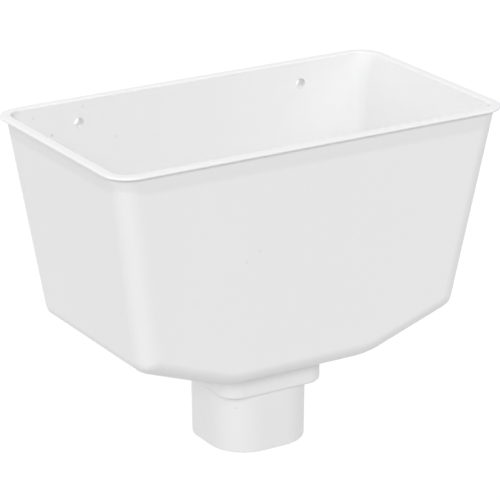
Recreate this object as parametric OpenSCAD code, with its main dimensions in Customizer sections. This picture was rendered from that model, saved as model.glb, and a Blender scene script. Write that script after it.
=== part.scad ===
// Rainwater hopper head for a 65 mm square downpipe, moulded in one piece.
// An open box with a lip all round, walls that lean in, a floor that falls from
// both sides to the middle, and an outlet of a square collar and a spigot below it.
// X runs along the wall, +Y points into the wall, +Z is up.
// The origin lies on the wall, midway between the two screw holes.

/* [Rim] */
// Width of the rim over its lip
rim_w = 250; // [230:1:280]
// Depth of the rim from the wall to its front edge
rim_d = 142.8; // [135:0.1:165]
// How far the lip stands out from the walls
lip_reach = 3.4; // [2.5:0.1:5]
// Thickness of the lip, which has a full round edge
lip_t = 1.8; // [1.6:0.1:3]
// Radius along the inner edge of the rim
lip_edge_r = 0.8; // [0.5:0.1:2]
// Radius in the angle below the lip
lip_root_r = 0.8; // [0.3:0.1:1.5]

/* [Body] */
// Thickness of the walls
wall_t = 2.5; // [1.8:0.1:3.2]
// Outer radius of the upright corners
corner_r = 12; // [9:0.5:18]
// Width between the shoulders, where the sides turn under
shoulder_w = 204; // [190:1:215]
// Depth of the shoulders below the rim
shoulder_depth = 118; // [105:1:125]
// Width of the level floor between the two slopes
floor_w = 91; // [84:1:110]
// Depth of the floor below the rim
floor_depth = 138.7; // [135:0.1:150]
// Lean of the front wall, in degrees from upright
front_lean = 5.5; // [2:0.1:8]
// Lean of the back wall, in degrees from upright
back_lean = 2.7; // [0.5:0.1:4]
// Outer radius of the shoulders
shoulder_r = 10; // [6:0.1:12]
// Outer radius of the bend from the slopes to the floor
floor_bend_r = 41; // [20:1:45]
// Outer radius of the lower front edge
front_edge_r = 10.6; // [6:0.1:11]
// Outer radius of the lower back edge
back_edge_r = 6; // [4:0.1:9]

/* [Outlet] */
// Distance from the wall to the middle of the outlet
outlet_y = 67.3; // [60:0.1:72]
// Width of the square collar, the same as the pipe's outside
collar_w = 65.6; // [64:0.1:66]
// Corner radius of the collar
collar_r = 11.8; // [8:0.1:16]
// Height of the collar
collar_h = 20; // [12:0.5:30]
// Radius along the lower edge of the collar
collar_edge_r = 2.1; // [0.5:0.1:2.4]
// Width of the spigot at the collar, which goes inside the pipe
spigot_w = 59.4; // [57:0.1:60]
// Corner radius of the spigot
spigot_r = 22.4; // [10:0.1:25]
// Height of the spigot
spigot_h = 35.5; // [25:0.5:50]
// How far each side of the spigot draws in towards its end
spigot_taper = 0.4; // [0:0.1:1]
// Radius along the edges of the spigot's end
spigot_edge_r = 0.6; // [0.2:0.1:0.8]

/* [Wall fixing] */
// Distance between the two screw holes
screw_spacing = 146.4; // [120:0.1:160]
// Depth of the screw holes below the rim
screw_drop = 13.3; // [11:0.1:25]
// Diameter of the screw holes
screw_d = 6; // [4:0.1:7]
// Diameter of the bosses that reach from the back wall to the wall
boss_d = 14; // [10:0.5:18]

/* [Hidden] */

colour = "whitesmoke";
// Steps along each round corner of a ring, and along each small edge arc
corner_steps = 8;
edge_steps = 4;
shoulder_steps = 6;
floor_steps = 7;
// Corner radius where the rounded edges run out on the level floor
floor_corner_r = 3;
// Facets of the bosses and screw holes
round_fn = 48;
// How far the screw holes run beyond the faces they go through
clear = 1;

// Half width of the walls at the rim, and the lean of the sides and slopes
wall_half = rim_w / 2 - lip_reach;
side_lean = atan2(wall_half - shoulder_w / 2, shoulder_depth);
slope = atan2(floor_depth - shoulder_depth, (shoulder_w - floor_w) / 2);

// Heights of the collar's and spigot's ends below the rim, the end's width and its edge angles
collar_z = -floor_depth - collar_h;
end_z = collar_z - spigot_h;
end_w = spigot_w - 2 * spigot_taper;
end_angles = [0, 45, 90];

// Inward directions of the side, slope and floor, in X and Z
in_side = [-cos(side_lean), sin(side_lean)];
in_slope = [-sin(slope), cos(slope)];
in_floor = [0, 1];

// A corner between two faces, moved inwards by t
function inset(p, a, b, t) = p + t * (a + b) / (1 + a * b);

// Heights and widths below are measured from the rim, for the skin that lies t inside the outer face
function shoulder(t) = inset([shoulder_w / 2, -shoulder_depth], in_side, in_slope, t);
function bend(t) = inset([floor_w / 2, -floor_depth], in_slope, in_floor, t);
function bend_centre(t) = inset(bend(t), in_slope, in_floor, floor_bend_r - t);
function floor_z(t) = t - floor_depth;
function side_x(t, z) = wall_half - t / cos(side_lean) + z * tan(side_lean);
function front_y(t, z) = lip_reach - rim_d + t / cos(front_lean) - z * tan(front_lean);
function back_y(t, z) = -lip_reach - t / cos(back_lean) + z * tan(back_lean);

// Half width of the slopes and their bend at a height above the floor
function slope_x(t, up) =
    let (r = floor_bend_r - t)
    up > r * (1 - cos(slope))
        ? bend(t).x + up / tan(slope)
        : bend_centre(t).x + sqrt(2 * r * up - up * up);

// A ring's corner is [radius in X, radius in Y, sweep], drawn from its side end
function round_corner(r) = [r, r, 90];

// Corner of the skin at one station, turning from the upright radius into the lower edge's
function skin_corner(t, x, z, tilt, edge_r) =
    let (
        r = edge_r - t,
        up = z - floor_z(t),
        share = (90 - side_lean - tilt) / (90 - side_lean - slope),
        blend = (corner_r - t) * (1 - share) + r * share,
        sweep = acos(max(-1, 1 - up / r))
    )
    up < r
        ? [(x - bend_centre(t).x) / (1 - cos(sweep)), r, sweep]
        : tilt > slope
            ? [blend / sin(tilt), blend, 90]
            : [x - slope_x(t + r, up - r), r, 90];

// Points of one corner arc, from its side end to its front or back end
function corner_arc(half_w, y, inward, c) = [
    for (i = [0 : corner_steps])
        let (a = c[2] * i / corner_steps)
        [half_w - c[0] * (1 - cos(a)), y + inward * c[1] * (1 - sin(a))]
];

function reversed(list) = [for (i = [len(list) - 1 : -1 : 0]) list[i]];
function mirrored(list) = [for (p = list) [-p.x, p.y]];
function at_height(list, z) = [for (p = list) [p.x, p.y, z]];

// A closed ring at one height, anticlockwise from above
function ring(half_w, front, back, front_corner, back_corner, z) =
    let (
        fore = corner_arc(half_w, front, 1, front_corner),
        aft = corner_arc(half_w, back, -1, back_corner)
    )
    at_height(concat(reversed(fore), aft, mirrored(reversed(aft)), mirrored(fore)), z);

// Ring of the rim, standing out from the walls' outer face
function rim_ring(out, z) =
    ring(wall_half + out, lip_reach - rim_d - out, out - lip_reach,
        round_corner(corner_r + out), round_corner(corner_r + out), z);

// Ring of the outlet, a square with round corners
function outlet_ring(width, r, z) =
    ring(width / 2, -outlet_y - width / 2, -outlet_y + width / 2, round_corner(r), round_corner(r), z);

// Ring of the skin at a half width and height, where the side has the given tilt from level
function skin_ring(t, x, z, tilt) =
    ring(x, front_y(t, z), back_y(t, z),
        skin_corner(t, x, z, tilt, front_edge_r), skin_corner(t, x, z, tilt, back_edge_r), z);

// Rings of one skin from its top down to the floor
function skin_rings(t, top_z) =
    let (
        r = shoulder_r - t,
        centre = inset(shoulder(t), in_side, in_slope, r),
        edge_r = front_edge_r - t,
        bend_end = edge_r + (floor_bend_r - front_edge_r) * (1 - cos(slope)),
        sweeps = [for (i = [0 : floor_steps - 1]) 90 * (1 - i / floor_steps)],
        heights = concat([bend_end], [for (a = sweeps) edge_r * (1 - cos(a))])
    )
    concat(
        [skin_ring(t, side_x(t, top_z), top_z, 90 - side_lean)],
        [for (i = [0 : shoulder_steps])
            let (
                tilt = 90 - side_lean - (90 - side_lean - slope) * i / shoulder_steps,
                p = centre + r * [sin(tilt), -cos(tilt)]
            )
            skin_ring(t, p.x, p.y, tilt)],
        [for (up = heights) skin_ring(t, slope_x(t, up), floor_z(t) + up, slope)],
        [ring(bend_centre(t).x,
            front_y(t, floor_z(t)) + edge_r,
            back_y(t, floor_z(t)) - (back_edge_r - t),
            round_corner(floor_corner_r), round_corner(floor_corner_r), floor_z(t))]
    );

// Inner edge of the rim, its level top and the round edge of the lip
function lip_rings() = concat(
    [for (i = [1 : edge_steps])
        let (a = 90 * i / edge_steps)
        rim_ring(lip_edge_r * (1 - cos(a)) - wall_t, lip_edge_r * (sin(a) - 1))],
    [for (i = [0 : 2 * edge_steps])
        let (a = 90 - 90 * i / edge_steps)
        rim_ring(lip_reach - lip_t / 2 * (1 - cos(a)), lip_t / 2 * (sin(a) - 1))],
    [rim_ring(lip_root_r, -lip_t)]
);

// Ring of the spigot's rounded end at an angle along its edge, drawn in from its outer face
function end_ring(draw, a) =
    outlet_ring(end_w - 2 * draw, spigot_r - spigot_taper - draw, end_z + spigot_edge_r * (1 - sin(a)));

// Outside of the collar and spigot, then back up inside them
function outlet_rings() = concat(
    [outlet_ring(collar_w, collar_r, -floor_depth)],
    [for (i = [0 : edge_steps])
        let (a = 90 * i / edge_steps, draw = collar_edge_r * (1 - cos(a)))
        outlet_ring(collar_w - 2 * draw, collar_r - draw, collar_z + collar_edge_r * (1 - sin(a)))],
    [outlet_ring(spigot_w, spigot_r, collar_z)],
    [for (a = end_angles) end_ring(spigot_edge_r * (1 - cos(a)), a)],
    [for (a = reversed(end_angles)) end_ring(wall_t - spigot_edge_r * (1 - cos(a)), a)],
    [outlet_ring(spigot_w - 2 * wall_t, spigot_r - wall_t, collar_z + wall_t)],
    [outlet_ring(collar_w - 2 * wall_t, collar_r - wall_t, collar_z + wall_t)],
    [outlet_ring(collar_w - 2 * wall_t, collar_r - wall_t, floor_z(wall_t))]
);

// The whole skin as one closed band of rings: over the lip, down the outside, up the inside
module shell() {
    rings = concat(
        lip_rings(),
        skin_rings(0, -lip_t - lip_root_r),
        outlet_rings(),
        reversed(skin_rings(wall_t, -lip_edge_r))
    );
    n = len(rings[0]);
    m = len(rings);
    polyhedron(
        points = [for (r = rings) each r],
        faces = [
            for (i = [0 : m - 1], j = [0 : n - 1])
                let (k = (i + 1) % m, l = (j + 1) % n)
                each [[i * n + j, i * n + l, k * n + l], [i * n + j, k * n + l, k * n + j]]
        ]
    );
}

// A cylinder along Y at both screw places
module at_screws(d, y0, y1) {
    for (side = [-1, 1])
        translate([side * screw_spacing / 2, y1, 0])
            rotate([90, 0, 0])
                cylinder(d = d, h = y1 - y0, $fn = round_fn);
}

module hopper_head() {
    color(colour)
        difference() {
            union() {
                translate([0, 0, screw_drop])
                    shell();
                at_screws(boss_d, back_y(wall_t / 2, -screw_drop), 0);
            }
            at_screws(screw_d, back_y(wall_t, -screw_drop) - clear, clear);
        }
}

hopper_head();
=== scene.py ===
# %% [markdown]
# # A moulded rainwater hopper head
#
# The object is one white plastic moulding that hangs on a wall and leads rainwater into a square
# downpipe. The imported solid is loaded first, because everything below is placed in its frame: X runs
# along the wall, Y points into it, Z is up, and the origin lies midway between the two screw holes.

# %% Load the frame
import math

import bmesh
import bpy
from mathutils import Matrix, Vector


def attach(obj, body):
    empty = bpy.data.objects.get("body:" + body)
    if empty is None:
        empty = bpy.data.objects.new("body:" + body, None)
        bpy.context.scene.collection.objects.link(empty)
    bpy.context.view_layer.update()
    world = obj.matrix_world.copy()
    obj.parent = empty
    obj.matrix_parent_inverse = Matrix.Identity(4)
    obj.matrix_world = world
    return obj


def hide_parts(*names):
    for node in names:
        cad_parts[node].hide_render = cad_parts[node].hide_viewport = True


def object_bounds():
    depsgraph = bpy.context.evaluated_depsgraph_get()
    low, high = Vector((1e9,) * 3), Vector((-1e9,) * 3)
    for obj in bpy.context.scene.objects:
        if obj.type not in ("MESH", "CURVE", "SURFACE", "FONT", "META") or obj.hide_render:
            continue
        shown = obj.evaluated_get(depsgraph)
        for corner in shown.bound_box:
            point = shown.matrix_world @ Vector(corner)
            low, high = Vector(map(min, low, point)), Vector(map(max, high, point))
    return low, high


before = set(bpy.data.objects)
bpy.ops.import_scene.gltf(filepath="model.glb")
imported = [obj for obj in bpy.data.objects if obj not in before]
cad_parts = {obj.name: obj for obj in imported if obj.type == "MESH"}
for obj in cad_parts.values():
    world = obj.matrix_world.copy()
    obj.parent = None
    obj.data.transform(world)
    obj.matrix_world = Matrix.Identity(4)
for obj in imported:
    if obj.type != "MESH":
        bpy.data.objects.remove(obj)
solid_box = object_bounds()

MM = 0.001
print("nodes:", sorted(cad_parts))
print("solid box in mm:", [[round(c / MM, 1) for c in corner] for corner in solid_box])

# %% [markdown]
# ## Selecting by place
#
# Modelling by hand means pointing at an edge and then using a tool on it. A script has no mouse, so it
# points by a test: one small helper clears the selection and then selects what passes the test. All
# lengths below are written in millimetres and multiplied by MM, because Blender works in metres.

# %% Selection helpers
CLOSE = 0.01 * MM


def pick(kind, test):
    """Selects, in edit mode, only the vertices, edges or faces that pass a test, and returns how many."""
    data = bpy.context.object.data
    mesh = bmesh.from_edit_mesh(data)
    bpy.ops.mesh.select_mode(type=kind)
    bpy.ops.mesh.select_all(action="DESELECT")
    parts = {"VERT": mesh.verts, "EDGE": mesh.edges, "FACE": mesh.faces}[kind]
    chosen = [part for part in parts if test(part)]
    for part in chosen:
        part.select_set(True)
    mesh.select_flush_mode()
    bmesh.update_edit_mesh(data)
    return len(chosen)


def same(a, b):
    """Whether two lengths agree closely enough to be the same."""
    return abs(a - b) < CLOSE


print("lengths count as the same within", round(CLOSE / MM, 3), "mm")

# %% [markdown]
# ## The body's front outline
#
# Seen from the front the body is two trapezoids: walls that lean in to the shoulders, and a floor that
# falls from the shoulders to a level middle. It could be drawn point by point, but a plane that is cut
# at the shoulders and narrowed there and at the floor gives the same six corners with three simple
# tools. The rim's place comes from the solid's box, less the reach of the lip that is added later.

# %% Draw the front outline
box_low, box_high = solid_box
LIP_HALF = box_high.x
LIP_FRONT = box_low.y
LIP_REACH = 3.4 * MM
FRONT_Y = LIP_FRONT + LIP_REACH
RIM_Z = box_high.z
RIM_HALF = LIP_HALF - LIP_REACH
SHOULDER_Z = RIM_Z - 118 * MM
SHOULDER_HALF = 102 * MM
FLOOR_Z = RIM_Z - 138.7 * MM
FLOOR_HALF = 45.5 * MM

bpy.ops.object.select_all(action="DESELECT")
bpy.ops.mesh.primitive_plane_add(
    size=1, location=(0, FRONT_Y, (RIM_Z + FLOOR_Z) / 2), rotation=(math.pi / 2, 0, 0))
hopper = bpy.context.object
hopper.name = hopper.data.name = "hopper_shell"
hopper.scale = (2 * RIM_HALF, RIM_Z - FLOOR_Z, 1)
bpy.ops.object.transform_apply(location=True, rotation=True, scale=True)
bpy.ops.object.mode_set(mode="EDIT")
bpy.ops.mesh.select_all(action="SELECT")
bpy.ops.mesh.bisect(plane_co=(0, 0, SHOULDER_Z), plane_no=(0, 0, 1))
for height, half in ((SHOULDER_Z, SHOULDER_HALF), (FLOOR_Z, FLOOR_HALF)):
    pick("VERT", lambda v: same(v.co.z, height))
    bpy.ops.transform.resize(value=(half / RIM_HALF, 1, 1), center_override=(0, 0, 0))
print("outline corners:", len(bmesh.from_edit_mesh(hopper.data).verts))

# %% [markdown]
# ## Depth, and the lean of the front and back
#
# Extruding the outline backwards makes a block. The real front and back lean in so that the moulding
# leaves its mould, so the corners at the shoulders and the floor move inwards by a share of their depth
# below the rim. A limited dissolve then joins the faces that lie in one plane.

# %% Extrude and lean the block
BACK_Y = -LIP_REACH
FRONT_SLANT = math.tan(math.radians(5.5))
BACK_SLANT = math.tan(math.radians(2.7))
FLAT_ANGLE = math.radians(1)

bpy.ops.mesh.select_all(action="SELECT")
bpy.ops.mesh.extrude_region_move(TRANSFORM_OT_translate={"value": (0, BACK_Y - FRONT_Y, 0)})
for height in (SHOULDER_Z, FLOOR_Z):
    for wall_y, slant in ((FRONT_Y, FRONT_SLANT), (BACK_Y, -BACK_SLANT)):
        pick("VERT", lambda v: same(v.co.z, height) and same(v.co.y, wall_y))
        bpy.ops.transform.translate(value=(0, (RIM_Z - height) * slant, 0))
bpy.ops.mesh.select_all(action="SELECT")
bpy.ops.mesh.normals_make_consistent(inside=False)
bpy.ops.mesh.dissolve_limited(angle_limit=FLAT_ANGLE)
print("faces of the block:", len(bmesh.from_edit_mesh(hopper.data).faces))

# %% [markdown]
# ## The bends in the floor
#
# Where the slopes meet the level floor, the real floor bends in a long arc. These two edges run from
# front to back, and a bevel with several segments turns each into that arc. Its offset is the arc's
# tangent length: the radius times the tangent of half the angle that the faces turn through.

# %% Round the floor bends
SLOPE = math.atan2(SHOULDER_Z - FLOOR_Z, SHOULDER_HALF - FLOOR_HALF)
BEND_R = 41 * MM
BEND_TANGENT = BEND_R * math.tan(SLOPE / 2)
BEND_SEGMENTS = 6
LONG_EDGE = 100 * MM


def level(part, z):
    """Whether an edge or a face lies level at a height."""
    return all(same(v.co.z, z) for v in part.verts)


def runs_back(edge):
    """Whether an edge goes from the front to the back."""
    return abs(edge.verts[0].co.y - edge.verts[1].co.y) > LONG_EDGE


def round_edges(offset, segments, test):
    """Bevels the edges that pass a test into arcs, and returns how many there were."""
    count = pick("EDGE", test)
    bpy.ops.mesh.bevel(
        offset=offset, offset_type="OFFSET", segments=segments, affect="EDGES", clamp_overlap=False)
    return count


bends = round_edges(BEND_TANGENT, BEND_SEGMENTS, lambda e: runs_back(e) and level(e, FLOOR_Z))
print("rounded floor bends:", bends, "over", round(BEND_TANGENT / MM, 2), "mm")

# %% [markdown]
# ## Corners, shoulders and lower edges
#
# The upright corners have the largest radius, the lower front edge and the shoulders a little less, and
# the lower back edge the least. Three such edges meet at each end of a shoulder, so they can't be
# rounded one by one. Each edge gets a bevel weight instead, its own share of the full width. Between
# walls at about right angles that width is the radius itself, and at the flatter shoulders it is the
# tangent length again.

# %% Weigh the edges
UPRIGHT_R = 12 * MM
FRONT_LOW_R = 10.6 * MM
BACK_LOW_R = 6 * MM
SHOULDER_R = 10 * MM
SIDE_LEAN = math.atan2(RIM_HALF - SHOULDER_HALF, RIM_Z - SHOULDER_Z)
SHOULDER_TANGENT = SHOULDER_R * math.tan((math.pi / 2 - SIDE_LEAN - SLOPE) / 2)
FACING = 0.9


def borders(edge, side):
    """Whether an edge borders the front wall, with side -1, or the back wall, with side 1."""
    return any(side * f.normal.y > FACING for f in edge.link_faces)


def is_upright_corner(edge):
    """Whether an edge rises from a shoulder to the rim."""
    return abs(edge.verts[0].co.z - edge.verts[1].co.z) > LONG_EDGE


def is_low_edge(edge, side):
    """Whether an edge runs along the bottom of the front or the back wall."""
    return borders(edge, side) and not is_upright_corner(edge) and not level(edge, RIM_Z)


for size, test in (
    (UPRIGHT_R, is_upright_corner),
    (FRONT_LOW_R, lambda e: is_low_edge(e, -1)),
    (BACK_LOW_R, lambda e: is_low_edge(e, 1)),
    (SHOULDER_TANGENT, lambda e: runs_back(e) and level(e, SHOULDER_Z)),
):
    print("edges to round over", round(size / MM, 2), "mm:", pick("EDGE", test))
    bpy.ops.transform.edge_bevelweight(value=size / UPRIGHT_R)
bpy.ops.object.mode_set(mode="OBJECT")

# %% [markdown]
# ## One bevel for all of them
#
# The Bevel modifier takes the upright corners' radius as its width, and follows the weights for the
# rest. It fills the corner where three rounded edges meet, which is the part that is hard to do by
# hand.

# %% Apply the bevel
CORNER_SEGMENTS = 10

rounding = hopper.modifiers.new("corner_rounding", "BEVEL")
rounding.limit_method = "WEIGHT"
rounding.offset_type = "OFFSET"
rounding.width = UPRIGHT_R
rounding.segments = CORNER_SEGMENTS
rounding.use_clamp_overlap = False
bpy.ops.object.modifier_apply(modifier=rounding.name)
print("faces after rounding:", len(hopper.data.polygons))

# %% [markdown]
# ## Opening the block
#
# The block is cut off just under the rim, and the cut's border is drawn up again as a short upright
# band, on which the lip will stand level. The level part of the floor is taken out for the outlet.

# %% Open the top and the floor
LIP_T = 1.8 * MM
LIP_Z = RIM_Z - LIP_T


def open_edge(edge):
    """Whether an edge borders a hole."""
    return len(edge.link_faces) == 1


bpy.ops.object.mode_set(mode="EDIT")
bpy.ops.mesh.select_all(action="SELECT")
bpy.ops.mesh.bisect(plane_co=(0, 0, LIP_Z), plane_no=(0, 0, 1), clear_outer=True)
border = pick("EDGE", lambda e: open_edge(e) and level(e, LIP_Z))
bpy.ops.mesh.extrude_edges_move(TRANSFORM_OT_translate={"value": (0, 0, LIP_T)})
floors = pick("FACE", lambda f: level(f, FLOOR_Z))
bpy.ops.mesh.delete(type="FACE")
bpy.ops.object.mode_set(mode="OBJECT")
print("border edges at the rim:", border, "floor faces taken out:", floors)

# %% [markdown]
# ## The collar
#
# Below the floor a square collar has the size of the downpipe's outside, so that the pipe's end stops
# under it. It starts as a cube at its size and place. Its uprights and its lower edge are bevelled, and
# its two end faces are taken off, which leaves a short tube.

# %% Make the collar
OUTLET_Y = -67.3 * MM
OUTLET_SEGMENTS = 12
COLLAR_W = 65.6 * MM
COLLAR_R = 11.8 * MM
COLLAR_Z = FLOOR_Z - 20 * MM
COLLAR_EDGE_R = 2.1 * MM
COLLAR_EDGE_SEGMENTS = 5
UPRIGHT_LEAST = 10 * MM


def upright(edge):
    """Whether an edge of a tube stands."""
    return abs(edge.verts[0].co.z - edge.verts[1].co.z) > UPRIGHT_LEAST


def square_tube(width, top, end, corner_r):
    """A cube at the outlet's place with round uprights, left in edit mode."""
    bpy.ops.object.select_all(action="DESELECT")
    bpy.ops.mesh.primitive_cube_add(size=1, location=(0, OUTLET_Y, (top + end) / 2))
    tube = bpy.context.object
    tube.scale = (width, width, top - end)
    bpy.ops.object.transform_apply(location=True, rotation=True, scale=True)
    bpy.ops.object.mode_set(mode="EDIT")
    round_edges(corner_r, OUTLET_SEGMENTS, upright)
    return tube


def open_ends(top, end):
    """Takes off a tube's end faces and leaves edit mode."""
    pick("FACE", lambda f: level(f, top) or level(f, end))
    bpy.ops.mesh.delete(type="FACE")
    bpy.ops.object.mode_set(mode="OBJECT")


collar = square_tube(COLLAR_W, FLOOR_Z, COLLAR_Z, COLLAR_R)
round_edges(COLLAR_EDGE_R, COLLAR_EDGE_SEGMENTS, lambda e: level(e, COLLAR_Z))
open_ends(FLOOR_Z, COLLAR_Z)
print("collar faces:", len(collar.data.polygons))

# %% [markdown]
# ## The spigot
#
# The spigot goes inside the pipe, so it is narrower than the collar and much rounder, and it tapers a
# little towards its end. It is made like the collar, and its corners have as many segments, so that the
# two open borders can be bridged by one ring of faces.

# %% Make the spigot
SPIGOT_W = 59.4 * MM
SPIGOT_END_W = 58.6 * MM
SPIGOT_R = 22.4 * MM
SPIGOT_Z = box_low.z
TAPER = SPIGOT_END_W / SPIGOT_W

spigot = square_tube(SPIGOT_W, COLLAR_Z, SPIGOT_Z, SPIGOT_R)
pick("VERT", lambda v: same(v.co.z, SPIGOT_Z))
bpy.ops.transform.resize(value=(TAPER, TAPER, 1), center_override=(0, OUTLET_Y, SPIGOT_Z))
open_ends(COLLAR_Z, SPIGOT_Z)
print("spigot faces:", len(spigot.data.polygons))

# %% [markdown]
# ## One skin
#
# The three open shells become one: a ledge bridges the collar and the spigot, and the level floor is
# filled between its rectangular border and the collar's top. The skin has to be one surface before it
# gets its thickness, or the walls would overlap inside.

# %% Join, bridge and fill
SKIN_MERGE = 0.005 * MM


def middle(part):
    """Middle of an edge's or a face's vertices."""
    return sum((v.co for v in part.verts), Vector()) / len(part.verts)


for shell in (collar, spigot, hopper):
    shell.select_set(True)
bpy.context.view_layer.objects.active = hopper
bpy.ops.object.join()
bpy.ops.object.mode_set(mode="EDIT")
ledge_edges = pick("EDGE", lambda e: open_edge(e) and level(e, COLLAR_Z))
bpy.ops.mesh.bridge_edge_loops()
floor_edges = pick("EDGE", lambda e: open_edge(e) and level(e, FLOOR_Z))
bpy.ops.mesh.fill(use_beauty=True)
bpy.ops.mesh.select_all(action="SELECT")
bpy.ops.mesh.remove_doubles(threshold=SKIN_MERGE)
bpy.ops.mesh.normals_make_consistent(inside=False)
mesh = bmesh.from_edit_mesh(hopper.data)
front_face = min(mesh.faces, key=lambda f: middle(f).y)
if front_face.normal.y > 0:
    bpy.ops.mesh.flip_normals()
ends = sum(open_edge(e) for e in bmesh.from_edit_mesh(hopper.data).edges)
bpy.ops.object.mode_set(mode="OBJECT")
print("bridged edges:", ledge_edges, "filled floor edges:", floor_edges)
print("edges left open at the rim and the spigot's end:", ends)

# %% [markdown]
# ## Wall thickness
#
# A moulding has one wall thickness throughout, so the inside is the outside moved inwards. The Solidify
# modifier does exactly that: with even thickness its corners keep their wall, and an offset of -1 keeps
# the outer size.

# %% Give the skin its thickness
WALL = 2.5 * MM

thicken = hopper.modifiers.new("wall_thickness", "SOLIDIFY")
thicken.thickness = WALL
thicken.offset = -1
thicken.use_even_offset = True
thicken.use_quality_normals = True
bpy.ops.object.modifier_apply(modifier=thicken.name)
print("faces with thickness:", len(hopper.data.polygons))

# %% [markdown]
# ## The lip
#
# A lip stands out all round the rim and stiffens it. It could be a frame of its own, joined on, but the
# short band under the rim is already its inner side. Extruded along its own normals, it keeps the same
# reach on the straights and round the corners.

# %% Extrude the lip
MID_Y = (FRONT_Y + BACK_Y) / 2


def looks_out(face):
    """Whether a face points away from the middle of the hopper."""
    centre = middle(face)
    return face.normal.x * centre.x + face.normal.y * (centre.y - MID_Y) > 0


def above(part, z):
    """Whether an edge or a face lies at a height or above it."""
    return all(v.co.z > z - CLOSE for v in part.verts)


bpy.ops.object.mode_set(mode="EDIT")
band = pick("FACE", lambda f: above(f, LIP_Z) and not level(f, RIM_Z) and looks_out(f))
bpy.ops.mesh.extrude_region_shrink_fatten(
    TRANSFORM_OT_shrink_fatten={"value": LIP_REACH, "use_even_offset": True})
print("band faces extruded:", band)

# %% [markdown]
# ## The lip's exact size
#
# A vertex's normal is an average of the faces around it, so the lip's two borders come out a trace off
# level and off size. Each is picked by its height and its distance from the walls, scaled flat and to
# the width and depth of the solid's box, and moved back until it touches the wall.

# %% Bring the lip to size
LIP_R = LIP_T / 2
RING_TOLERANCE = 0.75 * MM


def beyond_wall(point):
    """How far a point lies outside the walls' outline at the rim, seen from above."""
    x = abs(point.x) - RIM_HALF + UPRIGHT_R
    y = abs(point.y - MID_Y) - (BACK_Y - FRONT_Y) / 2 + UPRIGHT_R
    return math.hypot(max(x, 0), max(y, 0)) + min(max(x, y), 0) - UPRIGHT_R


for height in (RIM_Z, LIP_Z):
    pick("VERT", lambda v: beyond_wall(v.co) > LIP_R and abs(v.co.z - height) < RING_TOLERANCE)
    ring = [v.co.copy() for v in bmesh.from_edit_mesh(hopper.data).verts if v.select]
    front_end = min(p.y for p in ring)
    back_end = max(p.y for p in ring)
    wider = LIP_HALF / max(p.x for p in ring)
    deeper = -LIP_FRONT / (back_end - front_end)
    bpy.ops.transform.resize(value=(wider, deeper, 0), center_override=(0, back_end, height))
    bpy.ops.transform.translate(value=(0, -back_end, 0))
    print("border of", len(ring), "vertices scaled by", round(wider, 5), "and", round(deeper, 5))

# %% [markdown]
# ## Round edges on the lip and the spigot
#
# No moulded edge is quite sharp. The lip has a full round nose, and there is a small radius along the
# rim's inner edge and another in the angle under the lip. The spigot's end is rounded on both sides of
# its wall. These edges lie clear of each other, so each can be bevelled on its own.

# %% Round the lip's edges and the spigot's end
INNER_EDGE_R = 0.8 * MM
ROOT_R = 0.8 * MM
END_EDGE_R = 0.6 * MM
LIP_SEGMENTS = 6
FINE_SEGMENTS = 3
ROUND_MERGE = 0.02 * MM


def on_ring(edge, z, least, most):
    """Whether an edge runs round the rim at a height, between two distances from the walls' outline."""
    return level(edge, z) and all(least < beyond_wall(v.co) < most for v in edge.verts)


def on_nose(edge):
    """Whether an edge runs round the lip's upper or lower border."""
    return any(on_ring(edge, z, LIP_R, LIP_HALF) for z in (RIM_Z, LIP_Z))


nose = round_edges(LIP_R, LIP_SEGMENTS, on_nose)
inner = round_edges(INNER_EDGE_R, LIP_SEGMENTS, lambda e: on_ring(e, RIM_Z, -LIP_HALF, -INNER_EDGE_R))
root = round_edges(ROOT_R, FINE_SEGMENTS, lambda e: on_ring(e, LIP_Z, -ROOT_R, ROOT_R))
end = round_edges(END_EDGE_R, FINE_SEGMENTS, lambda e: level(e, SPIGOT_Z))
bpy.ops.mesh.select_all(action="SELECT")
bpy.ops.mesh.remove_doubles(threshold=ROUND_MERGE)
bpy.ops.object.mode_set(mode="OBJECT")
print("rounded edges of the nose:", nose, "inner edge:", inner, "root:", root, "spigot end:", end)

# %% [markdown]
# ## Screw bosses and holes
#
# The lip holds the back wall off the building by a few millimetres, so a round boss at each screw hole
# fills that gap and the screw can't bend the wall. A boss is a cylinder joined on by a Boolean, and a
# thinner one is then cut through. One of each is made, and a copy of it goes to the other side.

# %% Add the bosses and cut the holes
SCREW_X = 73.2 * MM
BOSS_R = 7 * MM
SCREW_R = 3 * MM
BACK_AT_SCREW = BACK_Y - RIM_Z * BACK_SLANT
HOLE_PAST = 1 * MM
PIN_SIDES = 64


def pair_of_pins(radius, start, end):
    """Two cylinders along Y at the screws' places, as one object."""
    bpy.ops.object.select_all(action="DESELECT")
    bpy.ops.mesh.primitive_cylinder_add(
        vertices=PIN_SIDES, radius=radius, depth=end - start,
        location=(SCREW_X, (start + end) / 2, 0), rotation=(math.pi / 2, 0, 0))
    pins = bpy.context.object
    bpy.ops.object.transform_apply(location=True, rotation=True, scale=True)
    bpy.ops.object.mode_set(mode="EDIT")
    bpy.ops.mesh.select_all(action="SELECT")
    bpy.ops.mesh.duplicate_move(TRANSFORM_OT_translate={"value": (-2 * SCREW_X, 0, 0)})
    bpy.ops.object.mode_set(mode="OBJECT")
    return pins


def combine(tool, operation):
    """Joins a tool object to the shell, or cuts it out, and removes the tool."""
    bpy.ops.object.select_all(action="DESELECT")
    bpy.context.view_layer.objects.active = hopper
    work = hopper.modifiers.new("work", "BOOLEAN")
    work.operation = operation
    work.object = tool
    work.solver = "EXACT"
    bpy.ops.object.modifier_apply(modifier=work.name)
    bpy.data.objects.remove(tool)


combine(pair_of_pins(BOSS_R, BACK_AT_SCREW - WALL / 2, 0), "UNION")
combine(pair_of_pins(SCREW_R, BACK_AT_SCREW - WALL - HOLE_PAST, HOLE_PAST), "DIFFERENCE")
print("boss length behind the wall in mm:", round(-BACK_AT_SCREW / MM, 2))

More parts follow.
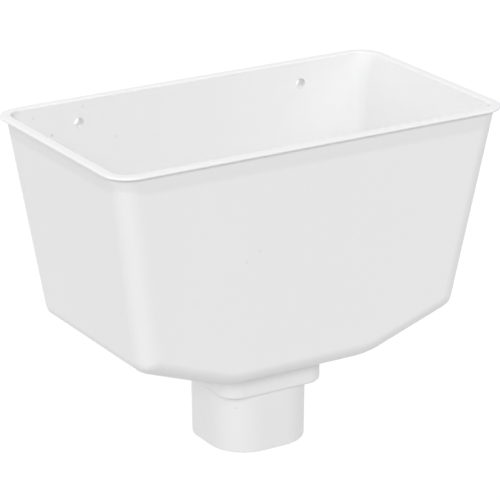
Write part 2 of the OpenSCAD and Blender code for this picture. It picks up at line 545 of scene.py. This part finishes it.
# %% [markdown]
# ## Is it closed?
#
# A moulding is a closed solid, so every edge of its mesh has to lie between exactly two faces. Counting
# the edges that don't, and taking the volume, shows whether the steps so far have worked.

# %% Measure the shell
CM = 10 * MM

measured = bmesh.new()
measured.from_mesh(hopper.data)
odd_edges = sum(not e.is_manifold for e in measured.edges)
volume = measured.calc_volume() / CM ** 3
measured.free()
print("volume in cm3:", round(volume, 1), "odd edges:", odd_edges)

# %% [markdown]
# ## Smooth faces
#
# The rounds are strips of flat faces. Smooth shading hides that, but it also bends the light on the
# large flat walls beside them. Shading by angle keeps real creases, and the Weighted Normal modifier
# lets the large faces keep their own direction, so only the rounds are blended.

# %% Shade the shell
SHARP_ANGLE = math.radians(35)
EVEN_WEIGHT = 50

bpy.ops.object.select_all(action="DESELECT")
hopper.select_set(True)
bpy.context.view_layer.objects.active = hopper
bpy.ops.object.shade_smooth_by_angle(angle=SHARP_ANGLE)
even_light = hopper.modifiers.new("even_light", "WEIGHTED_NORMAL")
even_light.mode = "FACE_AREA"
even_light.weight = EVEN_WEIGHT
even_light.keep_sharp = True
bpy.ops.object.modifier_apply(modifier=even_light.name)
print("smooth faces:", sum(p.use_smooth for p in hopper.data.polygons), "of", len(hopper.data.polygons))

# %% [markdown]
# ## Writing shader maths
#
# A material is a net of nodes. To keep it readable, one small class stands for a socket: sums and
# products of such sockets are written as in ordinary maths and add Math nodes, and any other node comes
# from one method.


# %% A class for shader sockets
class Wire:
    """An output socket of a node tree that takes part in sums and products."""

    def __init__(self, tree, socket=None):
        self.tree = tree
        self.socket = socket

    def node(self, kind, settings=None, inputs=None, output=0):
        """Adds a node: its settings first, then the values or links of its sockets."""
        made = self.tree.nodes.new(kind)
        for name, value in (settings or {}).items():
            setattr(made, name, value)
        for name, value in (inputs or {}).items():
            if isinstance(value, Wire):
                self.tree.links.new(value.socket, made.inputs[name])
            else:
                made.inputs[name].default_value = value
        return Wire(self.tree, made.outputs[output]) if made.outputs else made

    def maths(self, operation, first, second):
        """A Math node on two values or sockets."""
        return self.node("ShaderNodeMath", {"operation": operation}, {0: first, 1: second})

    def __add__(self, other):
        return self.maths("ADD", self, other)

    def __radd__(self, other):
        return self.maths("ADD", other, self)

    def __sub__(self, other):
        return self.maths("SUBTRACT", self, other)

    def __rsub__(self, other):
        return self.maths("SUBTRACT", other, self)

    def __mul__(self, other):
        return self.maths("MULTIPLY", self, other)

    def __rmul__(self, other):
        return self.maths("MULTIPLY", other, self)


def empty_tree(owner):
    """Turns on a material's or world's nodes and clears them."""
    owner.use_nodes = True
    owner.node_tree.nodes.clear()
    return Wire(owner.node_tree)


# %% [markdown]
# ## The plastic
#
# The hopper is injection moulded in white PVC: one even, neutral white with a half gloss. It could be
# one flat colour, but a real moulding is never quite even. The melt leaves faint flow marks, drawn out
# upwards. The mould's steel leaves a very fine grain and slightly wavy walls, and handling leaves
# patches of lower gloss. Each is a noise of its own size, read from Object coordinates so that it stays
# fixed to the piece.

# %% Mix the plastic's fields
FLOW_MARK = 55 * MM
FLOW_STRETCH = (1, 1, 0.4)
HANDLED = 28 * MM
WALL_WAVE = 70 * MM
MOULD_GRAIN = 0.7 * MM

plastic = bpy.data.materials.new("white_plastic")
plastic_net = empty_tree(plastic)
place = plastic_net.node("ShaderNodeTexCoord", output="Object")


def cloud(size, detail, stretch=(1, 1, 1)):
    """A soft noise from 0 to 1 whose patches have a given size."""
    spot = plastic_net.node("ShaderNodeVectorMath", {"operation": "MULTIPLY"}, {0: place, 1: stretch})
    settings = {"Vector": spot, "Scale": 1 / size, "Detail": detail}
    return plastic_net.node("ShaderNodeTexNoise", inputs=settings)


flow = cloud(FLOW_MARK, detail=2, stretch=FLOW_STRETCH)
handled = cloud(HANDLED, detail=4)
wave = cloud(WALL_WAVE, detail=1)
grain = cloud(MOULD_GRAIN, detail=2)
print("noise fields:", sum(n.type == "TEX_NOISE" for n in plastic_net.tree.nodes))

# %% [markdown]
# ## Small marks
#
# A few grey smudges of a millimetre or two show on the hopper: dust and rub marks from its handling. A
# random pattern would put them anywhere, so the clear ones have their own places, each a small soft
# ball of darker tone around a point. A very sparse Voronoi pattern adds fainter dust on all sides.

# %% Place the marks
# Each mark has its middle and its radius in millimetres, and the share of the tone that it takes away
BACK_WALL_MARKS = (
    ((-90.5, -6.7, -4.5), 1.4, 0.25),
    ((-101.5, -6.2, 7), 1.2, 0.13),
    ((-70.5, -6.1, 9), 1.5, 0.11),
    ((-50, -7.1, -11.5), 1.3, 0.09),
)
FRONT_WALL_MARKS = (
    ((-33, -133.8, -44.5), 1.8, 0.07),
    ((-41, -133.3, -49.5), 1.4, 0.1),
    ((5.5, -136.9, -12.5), 1, 0.07),
    ((-72, -131.6, -67.5), 1.6, 0.04),
)
LEFT_SHOULDER_MARK = ((-103, -89, -99.5), 1.5, 0.11)
SPIGOT_MARK = ((-22, -91, -153.5), 1.2, 0.14)
DUST_SPACING = 26 * MM
DUST_R = 1.1 * MM
DUST_DEPTH = 0.04


def fade(value, end):
    """Goes smoothly from 1 at zero to 0 at the end value."""
    limits = {"Value": value, "From Min": 0, "From Max": end, "To Min": 1, "To Max": 0}
    return plastic_net.node("ShaderNodeMapRange", {"interpolation_type": "SMOOTHSTEP"}, limits)


def distance_from(point):
    """How far each place on the surface is from a point given in millimetres."""
    ends = {0: place, 1: tuple(c * MM for c in point)}
    return plastic_net.node("ShaderNodeVectorMath", {"operation": "DISTANCE"}, ends, output="Value")


marks = BACK_WALL_MARKS + FRONT_WALL_MARKS + (LEFT_SHOULDER_MARK, SPIGOT_MARK)
specks = {"Vector": place, "Scale": 1 / DUST_SPACING}
grit = plastic_net.node("ShaderNodeTexVoronoi", {"feature": "F1"}, specks)
dirt = DUST_DEPTH * fade(grit, DUST_R / DUST_SPACING)
for point, radius, depth in marks:
    dirt = dirt + depth * fade(distance_from(point), radius * MM)
print("placed marks:", len(marks))

# %% [markdown]
# ## From fields to finish
#
# The fields now set the tone, the gloss and the relief. White plastic hides a lot, so each share is
# small: the tone changes by about a hundredth, the roughness by a few hundredths, and the relief by a
# few hundredths of a millimetre. The shine itself is the shader's own, at the refractive index of PVC.

# %% Finish the plastic
WHITE = 0.88
NOISE_MIDDLE = 0.5
FLOW_TONE = 0.012
GLOSS = 0.33
HANDLED_GLOSS = 0.08
PVC_INDEX = 1.53
WAVE_DEPTH = 0.06 * MM
GRAIN_DEPTH = 0.004 * MM

tone = WHITE * (1 + (flow - NOISE_MIDDLE) * FLOW_TONE) * (1 - dirt)
colour = plastic_net.node("ShaderNodeCombineColor", inputs={"Red": tone, "Green": tone, "Blue": tone})
rough = GLOSS + (handled - NOISE_MIDDLE) * HANDLED_GLOSS
height_field = wave * WAVE_DEPTH + grain * GRAIN_DEPTH
relief = plastic_net.node("ShaderNodeBump", inputs={"Strength": 1, "Distance": 1, "Height": height_field})
shine = plastic_net.node("ShaderNodeBsdfPrincipled", inputs={
    "Base Color": colour, "Roughness": rough, "IOR": PVC_INDEX, "Normal": relief})
plastic_net.node("ShaderNodeOutputMaterial", inputs={"Surface": shine})
hopper.data.materials.clear()
hopper.data.materials.append(plastic)
print("nodes in the plastic:", len(plastic_net.tree.nodes))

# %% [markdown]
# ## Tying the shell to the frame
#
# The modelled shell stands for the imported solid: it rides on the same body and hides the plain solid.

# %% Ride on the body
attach(hopper, "root")
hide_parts("hopper_head")
print("shell replaces:", "hopper_head")

# %% [markdown]
# ## A pale floor
#
# The hopper hangs in a plain white studio, with a wide pale floor well below it. The floor's tone sets
# how much light comes back up from it, and a matt floor of that tone would look grey. So rays from the
# camera and from reflections see an added glow, which puts no light on the hopper.

# %% Lay the floor
GROUND_Z = -450 * MM
GROUND_SIZE = 12
FLOOR_WHITE = 0.56
FLOOR_GLOW = 0.54
WHITE_LIGHT = (1, 1, 1, 1)


def seen_rays(net):
    """1 for rays from the camera, a reflection or a clear piece, and 0 for rays that carry light."""
    path = net.node("ShaderNodeLightPath").socket.node.outputs
    kinds = ("Is Camera Ray", "Is Glossy Ray", "Is Transmission Ray")
    camera_ray, glossy_ray, clear_ray = (Wire(net.tree, path[kind]) for kind in kinds)
    return camera_ray + glossy_ray + clear_ray


bpy.ops.object.select_all(action="DESELECT")
bpy.ops.mesh.primitive_plane_add(size=GROUND_SIZE, location=(0, 0, GROUND_Z))
ground = bpy.context.object
ground.name = ground.data.name = "studio_floor"
paper = bpy.data.materials.new("pale_floor")
paper_net = empty_tree(paper)
floor_tone = (FLOOR_WHITE, FLOOR_WHITE, FLOOR_WHITE, 1)
matt = paper_net.node("ShaderNodeBsdfDiffuse", inputs={"Color": floor_tone})
added = seen_rays(paper_net) * FLOOR_GLOW
glow = paper_net.node("ShaderNodeEmission", inputs={"Color": WHITE_LIGHT, "Strength": added})
both = paper_net.node("ShaderNodeAddShader", inputs={0: matt, 1: glow})
paper_net.node("ShaderNodeOutputMaterial", inputs={"Surface": both})
ground.data.materials.append(paper)
print("floor below the spigot in mm:", round((SPIGOT_Z - GROUND_Z) / MM))

# %% [markdown]
# ## Studio lamps
#
# White plastic shows its shape only by slight changes of light, so the lamps matter as much as the
# finish. The key is a small, hard lamp high on the left, and it draws the band of shadow under the lip.
# The others are wide and soft: two low ones in front and one on the left reach into the hopper, and a
# faint one stands behind. Sun lamps are used, because their strength doesn't depend on the distance,
# and the angle of each sets how soft it is.

# %% Hang the lamps
LAMPS = {
    "key_lamp": dict(azimuth=-50, elevation=57, softness=3, share=0.2),
    "front_lamp": dict(azimuth=-30, elevation=25, softness=15, share=0.33),
    "right_lamp": dict(azimuth=15, elevation=30, softness=20, share=0.14),
    "left_lamp": dict(azimuth=-103, elevation=15, softness=30, share=0.2),
    "back_lamp": dict(azimuth=165, elevation=40, softness=40, share=0.1),
}
LAMP_DISTANCE = 2


def facing(azimuth, elevation):
    """Direction from the hopper to a place. The azimuth counts from straight in front to the right."""
    turn = math.radians(azimuth)
    rise = math.radians(elevation)
    return Vector((math.sin(turn) * math.cos(rise), -math.cos(turn) * math.cos(rise), math.sin(rise)))


def hang_lamp(name, azimuth, elevation, softness, share):
    """A lamp that lights a white face turned to it with its share of full white."""
    lamp = bpy.data.lights.new(name, "SUN")
    lamp.energy = share * math.pi
    lamp.angle = math.radians(softness)
    holder = bpy.data.objects.new(name, lamp)
    bpy.context.scene.collection.objects.link(holder)
    holder.location = LAMP_DISTANCE * facing(azimuth, elevation)
    holder.rotation_euler = facing(azimuth, elevation).to_track_quat("Z", "Y").to_euler()


for name, setting in LAMPS.items():
    hang_lamp(name, **setting)
lamp_light = sum(s["share"] * math.sin(math.radians(s["elevation"])) for s in LAMPS.values())
print("lamp light on a level white face:", round(lamp_light, 2))

# %% [markdown]
# ## An even sky
#
# Lamps alone would leave the far sides dark. A plain white sky fills them from everywhere at less than
# half strength. Rays from the camera and from reflections see it at full strength, so the background is
# white, and the light that falls on the hopper stays as it is.

# %% Light the sky
AMBIENT = 0.43

world = bpy.data.worlds.new("studio")
bpy.context.scene.world = world
sky_net = empty_tree(world)
strength = AMBIENT + seen_rays(sky_net) * (1 - AMBIENT)
sky = sky_net.node("ShaderNodeBackground", inputs={"Color": WHITE_LIGHT, "Strength": strength})
sky_net.node("ShaderNodeOutputWorld", inputs={"Surface": sky})
print("all light on a level white face:", round(AMBIENT + lamp_light, 2))

# %% [markdown]
# ## The camera
#
# The photograph looks down on the front left corner from about a metre and a half, with a long lens.
# The camera stands on a line from the hopper's middle at those angles and looks back along it. The
# Standard view shows colours as they are written.

# %% Aim the camera
CAMERA_AZIMUTH = -31.5
CAMERA_ELEVATION = 20
CAMERA_DISTANCE = 1584 * MM
CAMERA_TARGET = Vector((0, -69.6, -69.9)) * MM
SENSOR_MM = 36
LENS_MM = 203.2

toward = facing(CAMERA_AZIMUTH, CAMERA_ELEVATION)
view = bpy.data.cameras.new("photo_view")
view.sensor_width = SENSOR_MM
view.lens = LENS_MM
camera = bpy.data.objects.new("photo_view", view)
bpy.context.scene.collection.objects.link(camera)
camera.location = CAMERA_TARGET + CAMERA_DISTANCE * toward
camera.rotation_euler = toward.to_track_quat("Z", "Y").to_euler()
bpy.context.scene.camera = camera
bpy.context.scene.view_settings.view_transform = "Standard"
print("camera in mm:", [round(c / MM) for c in camera.location])
